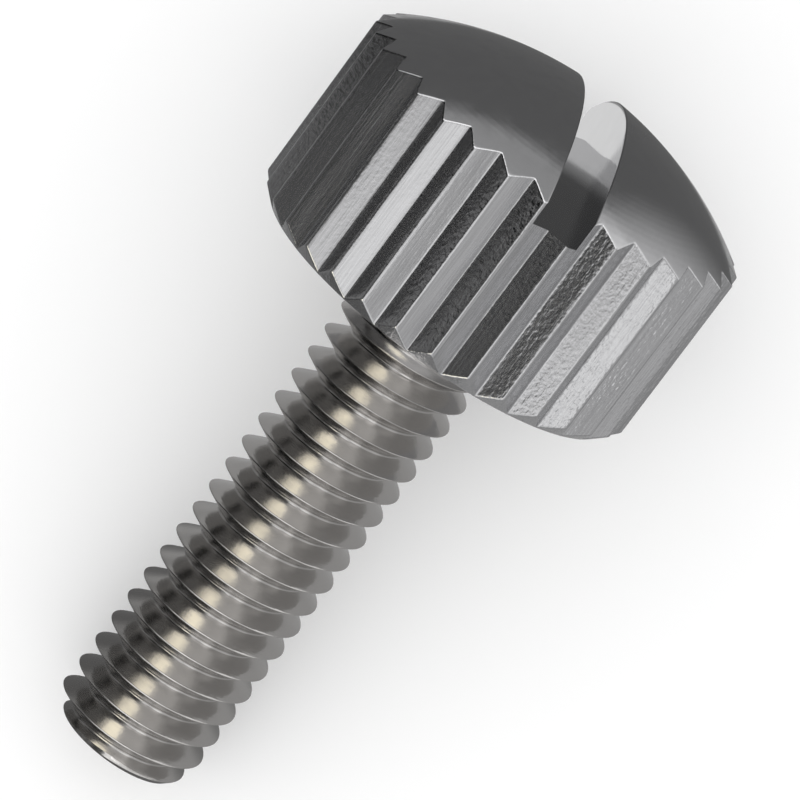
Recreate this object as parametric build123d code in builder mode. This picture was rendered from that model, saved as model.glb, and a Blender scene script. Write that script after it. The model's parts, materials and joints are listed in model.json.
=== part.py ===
"""Thumb screw: a knurled, domed and slotted head turned in one piece with its threaded shank.

Millimetres, +Z up. The screw lies on the plane Z = 0 as it comes to rest, on two crests of
its knurl and on the end of its thread. X runs from its tip to its head, and the origin is
under the middle of its length.
"""

import os
from math import asin, atan2, cos, degrees, radians, sin, sqrt

from build123d import *

# Shank. The thread is M4, whose finished crests are a little under 4 mm across.
thread_diameter = 3.93
shank_length = 13.65
tip_chamfer = 0.35

# Head. Heights are over its underside, which bears on the work.
head_diameter = 10.6
rim_height = 4.9
dome_radius = 9.4
bottom_chamfer = 0.4

# Straight knurl: V grooves along the head, which leave a narrow land on each crest
groove_count = 32
groove_depth = 0.37
crest_land = 0.06

# Screwdriver slot, sawn across the dome and a little off centre
slot_width = 1.23
slot_floor_height = 4.32
slot_offset = 0.27
slot_turn = 10.2

# How far a cutter runs past the metal
cutter_overrun = 1.0

thread_radius = thread_diameter / 2
head_radius = head_diameter / 2

# The dome is part of a ball that meets the knurled rim in a plain corner.
dome_centre_height = rim_height - sqrt(dome_radius**2 - head_radius**2)
dome_top_height = dome_centre_height + dome_radius
dome_corner_angle = degrees(asin((rim_height - dome_centre_height) / dome_radius))

# Section of a groove: its bottom, and its mouth where the flanks meet the lands
groove_bottom_radius = head_radius - groove_depth
half_mouth_angle = radians(180 / groove_count) - asin(crest_land / head_diameter)
half_mouth_width = head_radius * sin(half_mouth_angle)
mouth_radius = head_radius * cos(half_mouth_angle)
flank_slope = half_mouth_width / (mouth_radius - groove_bottom_radius)

# At rest a groove faces the floor. The screw stands on the two lands beside it, where the
# bottom chamfer ends, and on the thread where the tip's chamfer begins.
tip_contact = shank_length - tip_chamfer
rest_tilt = atan2(mouth_radius - thread_radius, bottom_chamfer + tip_contact)
bearing_face_height = mouth_radius * cos(rest_tilt) - bottom_chamfer * sin(rest_tilt)
reach_past_dome = dome_centre_height * cos(rest_tilt) + dome_radius
reach_past_tip = shank_length * cos(rest_tilt) + (thread_radius - tip_chamfer) * sin(rest_tilt)

# The screw's own frame. Its origin is the middle of the bearing face, its Z points out of the
# dome, and its X points to the groove that faces up.
screw_frame = Plane(
    origin=((reach_past_tip - reach_past_dome) / 2, 0, bearing_face_height),
    x_dir=(-sin(rest_tilt), 0, cos(rest_tilt)),
    z_dir=(cos(rest_tilt), 0, sin(rest_tilt)),
)
screw_axis = Axis(screw_frame.origin, screw_frame.z_dir)

# Half section: X is the distance from the axis, and Y the height over the bearing face.
half_section = Plane(
    origin=screw_frame.origin,
    x_dir=screw_frame.x_dir,
    z_dir=-screw_frame.y_dir,
)

# End view of the slot: X is the step to its side, and Y the height over the bearing face.
slot_direction = screw_frame.x_dir.rotate(screw_axis, slot_turn)
slot_view = Plane(
    origin=screw_frame.origin,
    x_dir=screw_frame.z_dir.cross(slot_direction),
    z_dir=slot_direction,
)

with BuildPart() as thumb_screw:
    # Turned blank, with the shank left plain at the size of its thread crests
    with BuildSketch(half_section):
        with BuildLine():
            Polyline(
                (0, dome_top_height),
                (0, -shank_length),
                (thread_radius - tip_chamfer, -shank_length),
                (thread_radius, -tip_contact),
                (thread_radius, 0),
                (head_radius - bottom_chamfer, 0),
                (head_radius, bottom_chamfer),
                (head_radius, rim_height),
            )
            CenterArc(
                center=(0, dome_centre_height),
                radius=dome_radius,
                start_angle=dome_corner_angle,
                arc_size=90 - dome_corner_angle,
            )
        make_face()
    revolve(axis=screw_axis)

    # Knurl. Each cutter's corners stand a little outside the lands, clear of the next cutter.
    corner_step = crest_land / 3
    corner_x = mouth_radius - groove_bottom_radius + corner_step
    corner_y = half_mouth_width + corner_step * flank_slope
    with BuildSketch(screw_frame.offset(-cutter_overrun)):
        with PolarLocations(groove_bottom_radius, groove_count):
            Polygon(
                (0, 0),
                (corner_x, -corner_y),
                (groove_depth + cutter_overrun, 0),
                (corner_x, corner_y),
            )
    extrude(amount=dome_top_height + 2 * cutter_overrun, mode=Mode.SUBTRACT)

    # Slot, open at both ends and over the dome
    with BuildSketch(slot_view):
        with Locations((slot_offset, slot_floor_height)):
            Rectangle(
                slot_width,
                dome_top_height - slot_floor_height + cutter_overrun,
                align=(Align.CENTER, Align.MIN),
            )
    extrude(amount=head_radius + cutter_overrun, both=True, mode=Mode.SUBTRACT)

thumb_screw.part.label = "thumb_screw"

os.makedirs("parts", exist_ok=True)
export_step(thumb_screw.part, "parts/thumb_screw.step")
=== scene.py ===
"""Looks of a slotted thumb screw with a knurled, domed head, lying as it comes to rest."""

import json
from math import asin, cos, pi, radians, sin, sqrt

import bmesh
import bpy
import numpy as np
from bpy.props import FloatProperty, FloatVectorProperty, IntProperty, PointerProperty
from mathutils import Matrix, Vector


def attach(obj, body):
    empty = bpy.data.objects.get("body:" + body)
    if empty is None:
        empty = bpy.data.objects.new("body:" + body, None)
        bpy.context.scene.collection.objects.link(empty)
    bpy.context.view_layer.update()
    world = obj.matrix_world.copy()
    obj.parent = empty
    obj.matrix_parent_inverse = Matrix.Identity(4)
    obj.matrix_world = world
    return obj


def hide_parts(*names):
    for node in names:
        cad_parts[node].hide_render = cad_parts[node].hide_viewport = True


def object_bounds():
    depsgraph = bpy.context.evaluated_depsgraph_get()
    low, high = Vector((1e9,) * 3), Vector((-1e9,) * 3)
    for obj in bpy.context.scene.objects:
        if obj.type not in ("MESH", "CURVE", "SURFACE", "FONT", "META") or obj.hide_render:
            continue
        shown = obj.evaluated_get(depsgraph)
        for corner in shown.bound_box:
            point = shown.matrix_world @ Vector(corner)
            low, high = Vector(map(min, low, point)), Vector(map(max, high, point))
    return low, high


bl_info = {
    "name": "Thumb Screw",
    "version": (1, 0, 0),
    "blender": (4, 5, 0),
    "location": "View3D > Sidebar > Thumb Screw",
    "description": "Builds a slotted thumb screw with a knurled head, and its stage",
    "category": "Add Mesh",
}

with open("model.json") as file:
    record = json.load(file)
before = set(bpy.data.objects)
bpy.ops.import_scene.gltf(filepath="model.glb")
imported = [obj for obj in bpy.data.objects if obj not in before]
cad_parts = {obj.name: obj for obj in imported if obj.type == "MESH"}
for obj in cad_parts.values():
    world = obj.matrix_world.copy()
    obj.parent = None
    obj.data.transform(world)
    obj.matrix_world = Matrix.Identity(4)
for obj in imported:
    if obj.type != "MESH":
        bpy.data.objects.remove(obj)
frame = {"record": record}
cad_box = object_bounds()

MM = 0.001
PIECE = "turned_screw"
CAD_NODE = "thumb_screw"

# Zones of the piece, in the order of its material slots
DOME, KNURL, SLOT, SHANK = range(4)

# Straight steps in the rounding of a corner
CORNER_STEPS = 4

# Rounding of the knurl's crests and bottoms
KNURL_SOFTNESS = 0.02 * MM

# Bevel between the bottom chamfer and the faces beside it
CHAMFER_BEVEL = 0.04 * MM

# Ring on the bearing face where the head's patch meets the shank's
BEARING_RING = 2.6 * MM

# How far from the axis the point is at which a half dome's rows of faces close
POLE_REACH = 2.6 * MM

# Height over the bearing face of a thread crest at azimuth 0
CREST_HEIGHT = -0.386 * MM

# How close to the bearing face the thread groove comes, fading out
RUNOUT = 0.35 * MM

# Fillet between the shank and the bearing face
NECK_FILLET = 0.1 * MM


def screw_axes():
    """Middle of the bearing face, and the screw's own X, Y and Z as columns.

    Both come from the thread's mount in the record. Z runs along the screw out of its dome, X
    leans up from it and Y completes the three.
    """
    mount = next(m for m in frame["record"]["mounts"] if m["name"] == "thread")
    z_axis = -np.array(mount["axis"])
    z_axis /= np.linalg.norm(z_axis)
    x_axis = np.array([-z_axis[2], 0, z_axis[0]])
    middle = np.array(mount["pos_m"]) + z_axis * mount["dims"]["length_mm"] * MM / 2
    return middle, np.column_stack([x_axis, np.cross(z_axis, x_axis), z_axis])


FACE_MIDDLE, SCREW_AXES = screw_axes()


def length(name, description, millimetres):
    """A length that a user may change, kept in metres."""
    return FloatProperty(
        name=name,
        description=description,
        default=millimetres * MM,
        min=0,
        precision=5,
        unit="LENGTH",
    )


def colour(name, description, value):
    """A colour that a user may change."""
    return FloatVectorProperty(
        name=name, description=description, default=value, min=0, max=1, size=3, subtype="COLOR"
    )


class ScrewSizes(bpy.types.PropertyGroup):
    """Sizes of the screw"""

    head_diameter: length("Head diameter", "Across the crests of the knurl", 10.6)
    rim_height: length("Rim height", "Knurled height, from the bearing face to the dome", 4.9)
    dome_radius: length("Dome radius", "Radius of the ball that the dome is part of", 9.4)
    bottom_chamfer: length("Bottom chamfer", "Chamfer round the bearing face", 0.4)
    groove_count: IntProperty(
        name="Grooves", description="Number of grooves round the knurl", default=32, min=8
    )
    groove_depth: length("Groove depth", "Depth of a knurl groove", 0.37)
    crest_land: length("Crest land", "Width of the land on each knurl crest", 0.06)
    slot_width: length("Slot width", "Width of the screwdriver slot", 1.23)
    slot_floor_height: length("Slot floor", "Height of the slot's floor over the face", 4.32)
    slot_offset: length("Slot offset", "How far the slot is off the screw's axis", 0.27)
    slot_turn: FloatProperty(
        name="Slot turn",
        description="Turn of the slot from the groove that faces up",
        default=radians(10.2),
        unit="ROTATION",
    )
    edge_round: length("Edge rounding", "Rounding of the rim and of the slot's edges", 0.03)
    shank_length: length("Shank length", "From the bearing face to the tip", 13.65)
    thread_diameter: length("Thread diameter", "Across the crests of the thread", 3.93)
    thread_pitch: length("Thread pitch", "From one thread crest to the next", 0.7)
    thread_depth: length("Thread depth", "Depth of the thread", 0.52)
    thread_start: length("Thread start", "Where the thread groove has its full depth", 1.5)
    tip_chamfer: length("Tip chamfer", "Chamfer at the end of the thread", 0.35)


class ScrewFinish(bpy.types.PropertyGroup):
    """Colours of the screw and of its stage"""

    head_metal: colour("Head metal", "Plated metal of the head", (0.6, 0.6, 0.61))
    shank_metal: colour("Shank metal", "Plated metal of the shank", (0.63, 0.615, 0.6))
    floor_colour: colour("Floor", "Floor that the screw lies on", (0.96, 0.96, 0.96))


def softer_least(a, b, softness):
    """The lesser of two values with the corner between them rounded.

    Half of their sum less the root of their difference squared plus the softness squared.
    """
    return (a + b - np.sqrt((a - b) ** 2 + softness**2)) / 2


def dome_height(sizes, radius):
    """Height of the dome over the bearing face at a distance from the axis: a ball's surface."""
    rim_radius = sizes.head_diameter / 2
    centre = sizes.rim_height - sqrt(sizes.dome_radius**2 - rim_radius**2)
    return centre + np.sqrt(sizes.dome_radius**2 - radius**2)


def knurl_radius(sizes, azimuth):
    """Distance of the knurled outline from the axis, at an azimuth from the groove facing up.

    In each groove the outline is two straight sides of a V, so its distance is the bottom's over
    one less the slope times the tangent of the angle from the groove, all over that angle's
    cosine. The lands between the grooves are the head's radius, and both corners are rounded.
    """
    step = 2 * pi / sizes.groove_count
    radius = sizes.head_diameter / 2
    bottom = radius - sizes.groove_depth
    half_mouth = step / 2 - asin(sizes.crest_land / sizes.head_diameter)
    slope = (radius * cos(half_mouth) - bottom) / (radius * sin(half_mouth))
    angle = (azimuth + step / 2) % step - step / 2
    root = KNURL_SOFTNESS / bottom
    side = np.sqrt(np.tan(angle) ** 2 + root**2)
    return softer_least(bottom / (1 - slope * side) / np.cos(angle), radius, KNURL_SOFTNESS)


def knurl_azimuths(sizes):
    """Azimuths at which the knurl is cut into columns, closer together at crests and bottoms."""
    half = np.array([0, 0.035, 0.08, 0.16, 0.32, 0.6, 0.82, 0.9, 0.93, 0.955, 0.98])
    tooth = np.concatenate([half, 2 - np.append(half, 1)[:0:-1]])
    step = 2 * pi / sizes.groove_count
    return ((np.arange(sizes.groove_count)[:, None] + tooth / 2) * step).ravel()


def on_circle(radius, azimuth, height):
    """Points at a distance from the axis, an azimuth and a height over the bearing face."""
    radius, azimuth, height = np.broadcast_arrays(radius, azimuth, height)
    return np.stack([radius * np.cos(azimuth), radius * np.sin(azimuth), height], axis=-1)


def rounded_corner(start, corner, end):
    """Points along a corner's rounding: a parabola that leaves start and meets end along its
    sides.

    Start is weighted by one less t squared, the corner by twice t times one less t, and end by t
    squared.
    """
    t = np.linspace(0, 1, CORNER_STEPS + 1).reshape(-1, *[1] * np.ndim(corner))
    return (1 - t) ** 2 * start + 2 * t * (1 - t) * corner + t**2 * end


class Shell:
    """Patches of one closed surface, gathered until they are sewn together."""

    def __init__(self):
        self.points, self.faces, self.zones, self.count = [], [], [], 0

    def add(self, points, faces, zone):
        """Takes points (n, 3) and faces as an array of their indices, three or four to a face."""
        self.faces.append(np.asarray(faces) + self.count)
        self.zones.append(np.full(len(faces), zone))
        self.points.append(points)
        self.count += len(points)

    def grid(self, points, zone, closed=True):
        """Takes points (rows, columns, 3), rows upwards and columns round the axis, so that each
        face of four neighbours points outwards. A closed grid's last column meets its first."""
        rows, columns = points.shape[:2]
        index = np.arange(rows * columns).reshape(rows, columns)
        if closed:
            index = np.concatenate([index, index[:, :1]], axis=1)
        quads = [index[:-1, :-1], index[:-1, 1:], index[1:, 1:], index[1:, :-1]]
        self.add(points.reshape(-1, 3), np.stack(quads, axis=-1).reshape(-1, 4), zone)

    def fan(self, loop, middle, zone, inwards=True):
        """Takes a closed loop (n, 3) and joins each of its edges to one point."""
        edge = np.arange(len(loop))
        after = np.roll(edge, -1)
        sides = [edge, after] if inwards else [after, edge]
        faces = np.stack([*sides, np.full(len(loop), len(loop))], axis=-1)
        self.add(np.vstack([loop, middle]), faces, zone)

    def zip(self, inner, outer, azimuth, zone):
        """Joins a ring of evenly spaced points, from azimuth 0, to one of more points outside it,
        at given azimuths: each outer point goes with the inner point nearest to it."""
        count = len(inner)
        nearest = np.round(azimuth / (2 * pi / count)).astype(int) % count
        edge = np.arange(len(outer))
        after = np.roll(edge, -1)
        outside = np.stack([nearest, count + after, count + edge], axis=-1)
        steps = nearest != nearest[after]
        inside = np.stack([nearest, nearest[after], count + after], axis=-1)[steps]
        self.add(np.vstack([inner, outer]), np.vstack([outside, inside]), zone)

    def sewn(self, name, merge=1e-7, sharp=radians(34)):
        """The mesh, placed in the frame, with the points that patches share merged."""
        mesh = bpy.data.meshes.new(name)
        points = np.vstack(self.points) @ SCREW_AXES.T + FACE_MIDDLE
        faces = [row for patch in self.faces for row in patch.tolist()]
        mesh.from_pydata(points, [], faces)
        mesh.polygons.foreach_set("material_index", np.concatenate(self.zones).astype(np.int32))
        work = bmesh.new()
        work.from_mesh(mesh)
        bmesh.ops.remove_doubles(work, verts=work.verts, dist=merge)
        bmesh.ops.dissolve_degenerate(work, edges=work.edges, dist=merge)
        loose = [e for e in work.edges if len(e.link_faces) != 2]
        if loose:
            raise RuntimeError(f"{name} is open or doubled at {len(loose)} edges")
        work.to_mesh(mesh)
        work.free()
        mesh.polygons.foreach_set("use_smooth", np.ones(len(mesh.polygons), bool))
        mesh.set_sharp_from_angle(angle=sharp)
        mesh.update()
        return mesh


class SlotCut:
    """The sawn slot in plan: its direction and sides, and the four corners where its sides meet
    the knurled outline."""

    def __init__(self, sizes):
        self.turn = sizes.slot_turn
        self.side = np.array([-sin(self.turn), cos(self.turn)])
        reach = sizes.slot_width / 2
        near = np.linspace(-0.4, 0.4, 20001)
        step = knurl_radius(sizes, near + self.turn) * np.sin(near)
        far_step = knurl_radius(sizes, near + self.turn + pi) * np.sin(near)
        low, high = sizes.slot_offset - reach, sizes.slot_offset + reach
        first = self.turn + np.interp([low, high], step, near)
        second = self.turn + pi + np.interp([-high, -low], far_step, near)
        # In order round the axis: the near mouth's high side, the far mouth's high and low sides,
        # and the near mouth's low side a turn later
        self.corners = np.array([first[1], second[0], second[1], first[0] + 2 * pi])


def between(azimuths, start, end, margin):
    """The azimuths of a whole turn that lie between two others, clear of both by a margin."""
    turned = np.sort(np.concatenate([azimuths + 2 * pi * k for k in range(-1, 3)]))
    return turned[(turned > start + margin) & (turned < end - margin)]


def in_plan(sizes, azimuth):
    """Points of the knurled outline in plan."""
    return on_circle(knurl_radius(sizes, np.asarray(azimuth)), azimuth, 0)[..., :2]


def build_head(shell, sizes):
    """The head: bearing face, bottom chamfer, knurl, slot and dome. Returns the azimuths of the
    ring on its bearing face."""
    slot = SlotCut(sizes)
    rim = sizes.head_diameter / 2
    face_radius = rim - sizes.bottom_chamfer
    margin = (sizes.edge_round + 0.012 * MM) / rim
    corners = slot.corners
    ends = np.append(corners[1:], corners[0] + 2 * pi)
    base = knurl_azimuths(sizes)
    stretches = [
        np.concatenate([[a], between(base, a, b, margin if k % 2 == 0 else 0.3 * margin)])
        for k, (a, b) in enumerate(zip(corners, ends))
    ]
    ring = np.concatenate(stretches)
    radius = knurl_radius(sizes, ring)

    # Bearing face, chamfer and knurled side up to the slot's floor. The chamfer is a cone, so it
    # meets the outline as high as the outline is outside the bearing face.
    top = radius - face_radius
    bevel = np.minimum(CHAMFER_BEVEL, 0.45 * top)
    floor = sizes.slot_floor_height
    rows = [
        on_circle(
            np.linspace(BEARING_RING, face_radius - 0.01 * MM - CHAMFER_BEVEL, 7)[:, None], ring, 0
        ),
        rounded_corner(
            on_circle(face_radius - CHAMFER_BEVEL, ring, 0),
            on_circle(face_radius, ring, 0),
            on_circle(face_radius + bevel, ring, bevel),
        ),
        rounded_corner(
            on_circle(radius - bevel, ring, top - bevel),
            on_circle(radius, ring, top),
            on_circle(radius, ring, top + bevel),
        ),
    ]
    shell.grid(np.concatenate(rows[:2]), DOME)
    shell.grid(np.concatenate([rows[1][-1:], rows[2]]), KNURL)
    base_height = top + bevel
    part = np.array([0, 0.01, 0.03, 0.1, 0.3, 0.5, 0.7, 0.9, 1])[:, None]
    shell.grid(on_circle(radius, ring, base_height + part * (floor - base_height)), KNURL)

    # The two halves above the floor, and the floor between them
    floor_loop = []
    for sign, arc, mouth in ((1, *stretches[:2]), (-1, *stretches[2:])):
        build_half(shell, sizes, arc, mouth[0], sign * slot.side)
        chord = slot_chord(sizes, arc[0], mouth[0])
        floor_loop += [in_plan(sizes, arc[:1]), chord, in_plan(sizes, mouth)]
    loop = np.concatenate(floor_loop)
    loop = np.column_stack([loop, np.full(len(loop), floor)])
    shell.fan(loop, [*(slot.side * sizes.slot_offset), floor], SLOT)
    return ring


def slot_chord(sizes, start, end, count=26):
    """Points in plan along one wall of the slot, without its ends, closer together near them."""
    a, b = in_plan(sizes, [start, end])
    t = np.linspace(0, 1, count + 2)[1:-1]
    t = np.concatenate([[0.012, 0.02], t, [0.98, 0.988]])[:, None]
    return a + (b - a) * t


def build_half(shell, sizes, arc, end, inward):
    """One half of the head above the slot's floor: knurled side, slot wall, rounded edge, dome.

    The arc is the azimuths round the half's knurl, end is where the slot's wall meets it again,
    and inward points from the wall into the metal.
    """
    floor = sizes.slot_floor_height
    rounding = sizes.edge_round
    arc_points = in_plan(sizes, arc[1:])
    chord = slot_chord(sizes, arc[0], end)[::-1]
    first, last = in_plan(sizes, arc[0]), in_plan(sizes, end)
    along_wall = (last - first) / np.linalg.norm(last - first)

    def outline(reach):
        """The half's outline in plan, with its two corners rounded over a reach."""
        step = reach / (sizes.head_diameter / 2)
        start_round = rounded_corner(
            first + along_wall * reach, first, in_plan(sizes, arc[0] + step)
        )
        end_round = rounded_corner(in_plan(sizes, end - step), last, last - along_wall * reach)
        return np.concatenate([start_round, arc_points, end_round, chord])

    # Way in from the outline: towards the axis round the knurl, square to the wall along the slot
    mix = np.linspace(0, 1, CORNER_STEPS + 1)[:, None]
    towards_axis = -arc_points / np.linalg.norm(arc_points, axis=1)[:, None]
    first_in = -first / np.linalg.norm(first)
    last_in = -last / np.linalg.norm(last)
    ways = np.concatenate(
        [
            inward * (1 - mix) + first_in * mix,
            towards_axis,
            last_in * (1 - mix) + inward * mix,
            np.tile(inward, (len(chord), 1)),
        ]
    )
    ways /= np.linalg.norm(ways, axis=1)[:, None]

    def risen(plan, height):
        """Points in plan lifted to a height."""
        return np.concatenate([plan, np.broadcast_to(height, len(plan))[:, None]], axis=1)

    full = outline(rounding)
    edge_height = dome_height(sizes, np.linalg.norm(full, axis=1))
    wall_top = edge_height - rounding
    # Rows up the wall: part of its height, and how far the corners' rounding has grown there
    rows_up = [(0, 0), (0.03, 0.55), (0.09, 0.9)]
    rows_up += [(part, 1) for part in (0.16, 0.4, 0.7, 0.92, 0.97)]
    wall = [
        risen(outline(rounding * grown), floor + part * (wall_top - floor))
        for part, grown in rows_up
    ]
    inner = full + ways * rounding
    rim = rounded_corner(
        risen(full, wall_top),
        risen(full, edge_height),
        risen(inner, dome_height(sizes, np.linalg.norm(inner, axis=1))),
    )
    rows = np.concatenate([np.array(wall), rim])
    arc_end = len(arc_points) + 2 * (CORNER_STEPS + 1)
    shell.grid(rows[:, :arc_end], KNURL, closed=False)
    wall_columns = np.concatenate([rows[:, arc_end - 1 :], rows[:, :1]], axis=1)
    shell.grid(wall_columns, SLOT, closed=False)

    # The dome's rows shrink from the outline to a point over the middle of the half
    pole = inward * POLE_REACH
    shrink = np.concatenate([[0, 0.008, 0.02, 0.045], np.linspace(0.08, 0.96, 18)])[:, None, None]
    plan = inner + (pole - inner) * shrink
    radii = np.linalg.norm(plan, axis=-1)
    dome = np.concatenate([plan, dome_height(sizes, radii)[..., None]], axis=-1)
    shell.grid(dome, DOME)
    middle = [*pole, dome_height(sizes, np.linalg.norm(pole))]
    shell.fan(dome[-1], middle, DOME)


def thread_radius(sizes, turns, height):
    """Distance of the threaded surface from the axis.

    Across a pitch it falls from the crest along a flank that leans 30 degrees, to a rounded root:
    the crest less the root of three times the distance from the crest, kept between both. The
    groove fades out over the last turn below the head, and the tip is cut to a cone.
    """
    crest = sizes.thread_diameter / 2
    away = np.abs((turns + 0.5) % 1 - 0.5) * sizes.thread_pitch
    flank = softer_least(crest, crest + 0.015 * MM - sqrt(3) * away, 0.01 * MM)
    root = crest - sizes.thread_depth
    cut = root + crest - softer_least(root + crest - flank, crest, 0.03 * MM)
    start = np.clip((-height - RUNOUT) / (sizes.thread_start - RUNOUT), 0, 1)
    depth = start * start * (3 - 2 * start)
    surface = crest - (crest - cut) * depth
    tip = crest - sizes.tip_chamfer + (height + sizes.shank_length)
    return softer_least(surface, tip, 0.02 * MM)


def build_shank(shell, sizes, columns=128):
    """The thread and the tip, as rows that follow the helix, which rises one pitch in a turn.

    The rows stop level at the tip and at the neck fillet. Returns the fillet's rows, whose last is
    on the bearing face.
    """
    neck = sizes.thread_diameter / 2
    pitch, tip_height = sizes.thread_pitch, -sizes.shank_length
    half = np.array([0, 0.01, 0.022, 0.045, 0.14, 0.28, 0.4, 0.455, 0.485])
    phase = np.concatenate([half, 1 - np.append(half, 0.5)[:0:-1]])
    turn_count = int(sizes.shank_length / pitch) + 3
    turns = (np.arange(-turn_count, 2)[:, None] + phase).ravel()
    around = np.arange(columns + 1) * 2 * pi / columns
    azimuth = around[:-1]

    def surface_at(height, angle):
        """Radius of the thread, with the turns counted along the helix from its crest."""
        turned = (height - CREST_HEIGHT) / pitch - angle / (2 * pi)
        return thread_radius(sizes, turned, height)

    height = CREST_HEIGHT + pitch * (turns[:, None] + around / (2 * pi))
    clipped = np.clip(height, tip_height, -NECK_FILLET)
    inside = (clipped.max(1) > tip_height) & (clipped.min(1) < -NECK_FILLET)
    keep = np.flatnonzero(inside)
    clipped = clipped[keep[0] - 1 : keep[-1] + 2]
    thread = on_circle(surface_at(clipped, around), around, clipped)
    shell.grid(thread, SHANK, closed=False)

    shares = np.append(np.linspace(0.1, 0.97, 8), 1)[:, None]
    tip = on_circle(shares * surface_at(tip_height, azimuth), azimuth, tip_height)
    shell.grid(tip, SHANK)
    shell.fan(tip[0], [0, 0, tip_height], SHANK, inwards=False)

    fillet = rounded_corner(
        on_circle(surface_at(-NECK_FILLET, azimuth), azimuth, -NECK_FILLET),
        on_circle(neck, azimuth, 0),
        on_circle(neck + NECK_FILLET, azimuth, 0),
    )
    return fillet


def screw_mesh(sizes):
    """The whole screw as one closed surface."""
    shell = Shell()
    ring = build_head(shell, sizes)
    fillet = build_shank(shell, sizes)
    shell.grid(fillet, SHANK)
    shell.zip(fillet[-1], on_circle(BEARING_RING, ring, 0), ring, DOME)
    return shell.sewn(PIECE)


class Shade:
    """A value that varies over a surface. Arithmetic on it adds Math nodes, so it is for plain
    numbers: colours and vectors go through mixed() and Vector Math."""

    def __init__(self, socket):
        self.socket = socket

    @staticmethod
    def node(tree, kind, settings=(), inputs=(), output=0):
        """Adds any node: its settings first, then the values or links of its sockets. Returns one
        of its outputs as a Shade."""
        node = tree.nodes.new(kind)
        for name, value in dict(settings).items():
            setattr(node, name, value)
        for key, value in dict(inputs).items():
            if isinstance(value, Shade):
                tree.links.new(value.socket, node.inputs[key])
            else:
                node.inputs[key].default_value = value
        return None if output is None else Shade(node.outputs[output])

    def maths(self, operation, *others):
        """A Math node of this value and of any others that the operation takes."""
        inputs = dict(enumerate((self, *others)))
        return self.node(self.socket.id_data, "ShaderNodeMath", {"operation": operation}, inputs)

    def __add__(self, other):
        return self.maths("ADD", other)

    def __sub__(self, other):
        return self.maths("SUBTRACT", other)

    def __rsub__(self, other):
        return self * -1 + other

    def __mul__(self, other):
        return self.maths("MULTIPLY", other)

    __radd__ = __add__
    __rmul__ = __mul__

    def kept(self, low=0.0, high=1.0):
        """Held between two numbers."""
        return self.maths("MAXIMUM", low).maths("MINIMUM", high)

    def ramp(self, start, end, low=0.0, high=1.0):
        """Smooth step from low, where this is start, to high, where it is end."""
        return self.node(
            self.socket.id_data,
            "ShaderNodeMapRange",
            {"interpolation_type": "SMOOTHSTEP"},
            {"Value": self, "From Min": start, "From Max": end, "To Min": low, "To Max": high},
        )


def mixed(factor, first, second):
    """Colour from first to second as the factor goes from 0 to 1."""
    inputs = {0: factor, 6: first, 7: second}
    return Shade.node(factor.socket.id_data, "ShaderNodeMix", {"data_type": "RGBA"}, inputs, 2)


def parts_of(tree, vector):
    """The three parts of a vector."""
    return [Shade.node(tree, "ShaderNodeSeparateXYZ", (), {0: vector}, k) for k in range(3)]


class Plating:
    """A plated metal's node tree, with the patterns that its surfaces share. Patterns read places
    in millimetres along the screw's own axes."""

    def __init__(self, name, base):
        self.material = bpy.data.materials.new(name)
        self.material.use_nodes = True
        self.tree = self.material.node_tree
        self.shader = self.tree.nodes["Principled BSDF"]
        self.shader.inputs["Metallic"].default_value = 1
        self.base = (*base, 1)
        self.bump = None
        place = Shade.node(self.tree, "ShaderNodeTexCoord", output=3)
        settings = {"vector_type": "TEXTURE"}
        turn = Matrix(SCREW_AXES.tolist()).to_euler()
        inputs = {"Vector": place, "Location": FACE_MIDDLE, "Rotation": turn, "Scale": (MM,) * 3}
        self.place = Shade.node(self.tree, "ShaderNodeMapping", settings, inputs)
        self.x, self.y, self.z = parts_of(self.tree, self.place)

    def noise(self, scale, detail=2.0, roughness=0.5, seed=0.0):
        """Noise from 0 to 1, with its grains per millimetre along each of the screw's axes."""
        settings = {"operation": "MULTIPLY_ADD"}
        inputs = {0: self.place, 1: scale, 2: (seed, seed, seed)}
        place = Shade.node(self.tree, "ShaderNodeVectorMath", settings, inputs)
        inputs = {"Vector": place, "Scale": 1.0, "Detail": detail, "Roughness": roughness}
        return Shade.node(self.tree, "ShaderNodeTexNoise", (), inputs)

    def azimuth(self):
        """Angle round the screw's axis from the groove that faces up."""
        return self.y.maths("ARCTAN2", self.x)

    def radius(self):
        """Distance from the screw's axis, in millimetres."""
        return (self.x * self.x + self.y * self.y).maths("SQRT")

    def raise_by(self, height, depth):
        """Adds relief: heights from 0 to 1, over a depth in millimetres."""
        inputs = {"Height": height, "Distance": depth * MM}
        if self.bump:
            inputs["Normal"] = self.bump
        self.bump = Shade.node(self.tree, "ShaderNodeBump", (), inputs)

    def finish(self, roughness, colour=None):
        """Sets the shader from the roughness and the colour, each a number or a pattern."""
        for name, value in (("Roughness", roughness), ("Base Color", colour or self.base)):
            if isinstance(value, Shade):
                self.tree.links.new(value.socket, self.shader.inputs[name])
            else:
                self.shader.inputs[name].default_value = value
        if self.bump:
            self.tree.links.new(self.bump.socket, self.shader.inputs["Normal"])
        return self.material


def darker(colour, by):
    """A colour scaled towards black, with its alpha kept."""
    return (*(part * by for part in colour[:3]), 1)


def dome_plating(finish):
    """Bright plate over a turned face, with faint rings and a little handling wear."""
    plate = Plating("dome_plating", finish.head_metal)
    rings = (plate.radius() * 38).maths("SINE")
    plate.raise_by(rings, 0.00012)
    plate.raise_by(plate.noise((0.9, 0.9, 0.9), 3), 0.004)
    wear = plate.noise((2.2, 2.2, 2.2), 5, 0.65, 4.0)
    return plate.finish(
        wear.ramp(0.35, 0.75, 0.1, 0.2),
        mixed(wear.ramp(0.3, 0.8), plate.base, darker(plate.base, 0.92)),
    )


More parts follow.
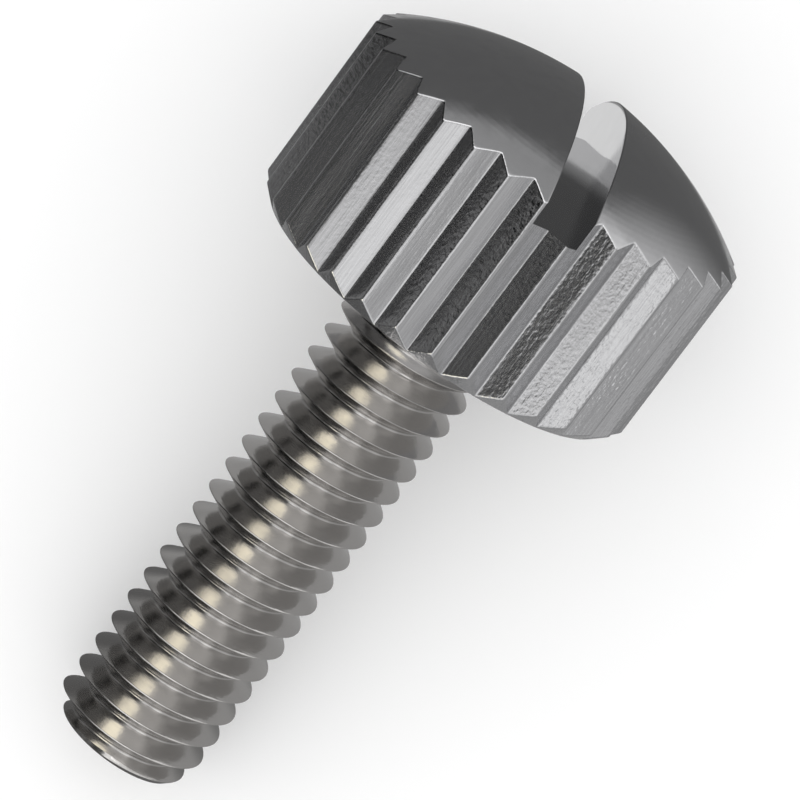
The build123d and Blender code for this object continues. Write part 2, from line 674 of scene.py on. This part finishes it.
def knurl_plating(finish, groove_count):
    """Plate over rolled flanks: pitted where the rolls pressed, with lengthwise drag lines."""
    plate = Plating("knurl_plating", finish.head_metal)
    # Pits are full on the flank that faces back round the screw, and fainter on the other
    across_groove = (plate.azimuth() * (groove_count / (2 * pi))).maths("FRACT")
    trailing = across_groove.ramp(0.47, 0.53, 1, 0.3)
    pits = plate.noise((10, 10, 8), 1.5, 0.5)
    patch = plate.noise((0.9, 0.9, 0.5), 2, 0.5, 7.0).ramp(0.35, 0.65, 0.45, 1)
    drag = plate.noise((24, 24, 0.5), 2, 0.6, 3.0)
    plate.raise_by(drag, 0.003)
    plate.raise_by(pits * patch * trailing, 0.018)
    return plate.finish(
        0.16 + drag * 0.12, mixed(drag.ramp(0.3, 0.7), darker(plate.base, 0.86), plate.base)
    )


def slot_plating_and_shade(finish, floor_height):
    """Plate over sawn walls, with faint saw lines along the slot. The walls are coloured a little
    darker than the head as painted shade in the slot, and the duller floor is coloured much darker
    still as painted shade.
    """
    plate = Plating("slot_plating_and_shade", finish.head_metal)
    plate.raise_by(plate.noise((0.8, 0.8, 14), 2, 0.5, 2.0), 0.0005)
    # Mask of the slot's floor: it makes the floor duller, and it paints the floor dark as shade at
    # the slot's bottom
    floor = plate.z.ramp(floor_height + 0.02, floor_height + 0.06, 1, 0)
    cloud = plate.noise((1.6, 1.6, 1.6), 3, 0.6, 9.0)
    # Painted shade: the walls are coloured as darker copies of the head's plate, varied by the
    # cloud
    painted_wall_shade = mixed(cloud, darker(plate.base, 0.76), darker(plate.base, 0.68))
    return plate.finish(
        cloud.ramp(0.3, 0.7, 0.05, 0.09) + floor * 0.3,
        mixed(floor, painted_wall_shade, darker(plate.base, 0.3)),
    )


def shank_plating(finish):
    """Plate over cut threads, a little warmer, with tool lines round the screw."""
    plate = Plating("shank_plating", finish.shank_metal)
    plate.raise_by(plate.noise((0.7, 0.7, 22), 2, 0.6), 0.003)
    plate.raise_by(plate.noise((5, 5, 5), 3, 0.6, 5.0), 0.004)
    cloud = plate.noise((1.3, 1.3, 1.3), 4, 0.65, 1.0)
    return plate.finish(
        cloud.ramp(0.3, 0.7, 0.12, 0.24), mixed(cloud, plate.base, darker(plate.base, 0.86))
    )


class SCREW_OT_build(bpy.types.Operator):
    """Build the thumb screw: knurled head, slot and threaded shank in one piece"""

    bl_idname = "screw.build"
    bl_label = "Thumb screw"

    def execute(self, context):
        sizes, finish = context.scene.screw_sizes, context.scene.screw_finish
        screw = bpy.data.objects.new(PIECE, screw_mesh(sizes))
        context.scene.collection.objects.link(screw)
        for material in (
            dome_plating(finish),
            knurl_plating(finish, sizes.groove_count),
            slot_plating_and_shade(finish, sizes.slot_floor_height),
            shank_plating(finish),
        ):
            screw.data.materials.append(material)
        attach(screw, "root")
        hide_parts(CAD_NODE)
        return {"FINISHED"}


# The light tent: its own level low down, and how much darker it is at the top
TENT_LEVEL = 0.38
TENT_FALL = 0.18

# Panels of the tent: azimuth from +X and height over the horizon, radius and soft edge, all in
# degrees, and how much lighter or darker than the tent the panel is
PANELS = (
    (19, 42, 28, 20, 1.5),
    (161, 29, 13, 12, 1.7),
    (188, 28, 30, 20, 0.55),
    (67, 20, 34, 16, -0.38),
    (132, 4, 24, 12, -0.22),
    (112, 45, 24, 16, -0.14),
    (317, 15, 30, 20, 0.7),
    (257, 40, 30, 20, 0.25),
    (322, 62, 18, 12, 0.5),
    (227, 58, 12, 10, 0.75),
    (0, 90, 12, 10, 1.1),
    (180, 63, 9, 8, 0.75),
    (107, -25, 26, 16, -0.15),
    (167, -30, 26, 20, -0.25),
)
WARM_PANEL = 1
WARM_COLOUR = (1, 0.95, 0.78, 1)
WHITE = (1, 1, 1, 1)

# A dark sheet on the floor ahead of the head: where it starts and is full, and how dark it is
SHEET_START, SHEET_FULL = 10.2 * MM, 10.6 * MM
SHEET_DEPTH = 0.25

# White paper under the head's far side: its middle, half its sizes, soft edge and level
PAPER_X, PAPER_Y = 9.25 * MM, 0.2 * MM
PAPER_HALF_X, PAPER_HALF_Y = 0.85 * MM, 2.2 * MM
PAPER_EDGE = 0.12 * MM
PAPER_LEVEL = 0.95


def tent_mesh(middle, radius=0.08, floor_gap=0.00001, rows=48, columns=96):
    """The tent's surface: a ball round the screw, cut flat just above the floor.

    Each point is the tent's middle plus a direction times the radius, or times the middle's
    height over the direction's fall, if that is less.
    """
    rise = np.linspace(-pi / 2, pi / 2, rows + 1)[:, None]
    around = np.linspace(0, 2 * pi, columns + 1)
    level_x, level_y = np.cos(rise) * np.cos(around), np.cos(rise) * np.sin(around)
    direction = np.stack(np.broadcast_arrays(level_x, level_y, np.sin(rise)), axis=-1)
    fall = np.maximum(-direction[..., 2], 1e-6)
    reach = np.minimum(radius, (middle[2] + floor_gap) / fall)
    points = middle + direction * reach[..., None]
    index = np.arange(points[..., 0].size).reshape(points.shape[:2])
    quads = np.stack([index[:-1, :-1], index[1:, :-1], index[1:, 1:], index[:-1, 1:]], axis=-1)
    mesh = bpy.data.meshes.new("light_tent")
    mesh.from_pydata(points.reshape(-1, 3), [], quads.reshape(-1, 4).tolist())
    return mesh


def tent_paper(middle):
    """The tent's graded paper, with its panels, its dark sheet and its white paper."""
    material = bpy.data.materials.new("tent_paper")
    material.use_nodes = True
    tree = material.node_tree
    tree.nodes.clear()
    place = Shade.node(tree, "ShaderNodeTexCoord", output=3)
    inputs = {0: place, 1: middle}
    place = Shade.node(tree, "ShaderNodeVectorMath", {"operation": "SUBTRACT"}, inputs)
    way = Shade.node(tree, "ShaderNodeVectorMath", {"operation": "NORMALIZE"}, {0: place})
    height = parts_of(tree, way)[2]
    level = TENT_LEVEL - height.ramp(0.17, 0.87, 0, TENT_FALL)
    for number, (azimuth, rise, reach, soft, lift) in enumerate(PANELS):
        a, e = radians(azimuth), radians(rise)
        towards = (cos(a) * cos(e), sin(a) * cos(e), sin(e))
        inputs = {0: way, 1: towards}
        near = Shade.node(tree, "ShaderNodeVectorMath", {"operation": "DOT_PRODUCT"}, inputs, 1)
        edges = [cos(radians(reach + part * soft / 2)) for part in (1, -1)]
        level = level + near.ramp(*edges, 0, lift)
        if number == WARM_PANEL:
            colour = mixed(near.ramp(*edges), WHITE, WARM_COLOUR)

    x, y, z = parts_of(tree, place)
    below_horizon = height.ramp(-0.12, -0.07, 1, 0)
    level = level - x.ramp(SHEET_START, SHEET_FULL) * below_horizon * SHEET_DEPTH
    beyond_x = (x - PAPER_X).maths("ABSOLUTE") - PAPER_HALF_X
    beyond_y = (y - PAPER_Y).maths("ABSOLUTE") - PAPER_HALF_Y
    beyond = beyond_x.maths("MAXIMUM", beyond_y)
    under_head = beyond.ramp(0, PAPER_EDGE, 1, 0) * z.maths("LESS_THAN", 0)
    level = level.maths("MAXIMUM", under_head * PAPER_LEVEL)
    material.cycles.emission_sampling = "NONE"
    inputs = {"Color": colour, "Strength": level.kept(0, 3)}
    glow = Shade.node(tree, "ShaderNodeEmission", (), inputs)
    Shade.node(tree, "ShaderNodeOutputMaterial", (), {"Surface": glow}, None)
    return material


def light_tent(scene):
    """A tent of graded paper that only reflections see, since bright plate shows only what it
    reflects."""
    middle = np.array([0, 0, (cad_box[0].z + cad_box[1].z) / 2])
    tent = bpy.data.objects.new("light_tent", tent_mesh(middle))
    tent.data.materials.append(tent_paper(middle))
    scene.collection.objects.link(tent)
    tent.visible_camera = tent.visible_diffuse = tent.visible_shadow = False
    tent.visible_transmission = tent.visible_volume_scatter = False


# Floor: half its width, and how far it is under the screw
FLOOR_REACH = 0.4
FLOOR_DROP = 0.00002

STUDIO_LIGHT = 1.15

# Camera: lens and sensor in millimetres, where it stands, and its lean and turn in degrees
LENS, SENSOR = 262.3, 36
CAMERA_PLACE = (0.00539, -0.00056, 0.14507)
CAMERA_LEAN, CAMERA_TURN = 1.7, -53.3


def floor_sheet(finish):
    """The pale floor that takes the screw's shadow."""
    mesh = bpy.data.meshes.new("floor")
    corners = [(-1, -1), (1, -1), (1, 1), (-1, 1)]
    mesh.from_pydata([(x * FLOOR_REACH, y * FLOOR_REACH, 0) for x, y in corners], [], [range(4)])
    floor = bpy.data.objects.new("floor", mesh)
    floor.location.z = -FLOOR_DROP
    material = bpy.data.materials.new("floor_paper")
    material.use_nodes = True
    shader = material.node_tree.nodes["Principled BSDF"]
    shader.inputs["Base Color"].default_value = (*finish.floor_colour, 1)
    shader.inputs["Roughness"].default_value = 0.9
    shader.inputs["Specular IOR Level"].default_value = 0
    mesh.materials.append(material)
    return floor


class SCREW_OT_stage(bpy.types.Operator):
    """Set the pale floor, the soft studio light and the camera"""

    bl_idname = "screw.stage"
    bl_label = "Stage"

    def execute(self, context):
        scene = context.scene
        floor = floor_sheet(scene.screw_finish)
        scene.collection.objects.link(floor)
        light_tent(scene)

        world = bpy.data.worlds.new("studio")
        world.use_nodes = True
        background = world.node_tree.nodes["Background"]
        background.inputs["Color"].default_value = WHITE
        background.inputs["Strength"].default_value = STUDIO_LIGHT
        scene.world = world

        lens = bpy.data.cameras.new("camera")
        lens.sensor_width = SENSOR
        lens.lens = LENS
        lens.clip_start, lens.clip_end = 0.01, 10
        camera = bpy.data.objects.new("camera", lens)
        scene.collection.objects.link(camera)
        lean = Matrix.Rotation(radians(CAMERA_LEAN), 4, "Y")
        turn = Matrix.Rotation(radians(CAMERA_TURN), 4, "Z")
        camera.matrix_world = Matrix.Translation(CAMERA_PLACE) @ lean @ turn
        scene.camera = camera
        scene.view_settings.view_transform = "Standard"
        return {"FINISHED"}


class SCREW_PT_panel(bpy.types.Panel):
    bl_label = "Thumb Screw"
    bl_space_type = "VIEW_3D"
    bl_region_type = "UI"
    bl_category = "Thumb Screw"

    def draw(self, context):
        for group in (context.scene.screw_sizes, context.scene.screw_finish):
            box = self.layout.box()
            for name in group.bl_rna.properties.keys():
                if name not in ("rna_type", "name"):
                    box.prop(group, name)
        for operator in OPERATORS:
            self.layout.operator(operator.bl_idname)


OPERATORS = (SCREW_OT_build, SCREW_OT_stage)
CLASSES = (ScrewSizes, ScrewFinish, *OPERATORS, SCREW_PT_panel)


def register():
    for item in CLASSES:
        bpy.utils.register_class(item)
    bpy.types.Scene.screw_sizes = PointerProperty(type=ScrewSizes)
    bpy.types.Scene.screw_finish = PointerProperty(type=ScrewFinish)


def unregister():
    del bpy.types.Scene.screw_finish
    del bpy.types.Scene.screw_sizes
    for item in reversed(CLASSES):
        bpy.utils.unregister_class(item)


def main():
    register()
    bpy.ops.screw.build()
    bpy.ops.screw.stage()


if __name__ == "__main__":
    main()
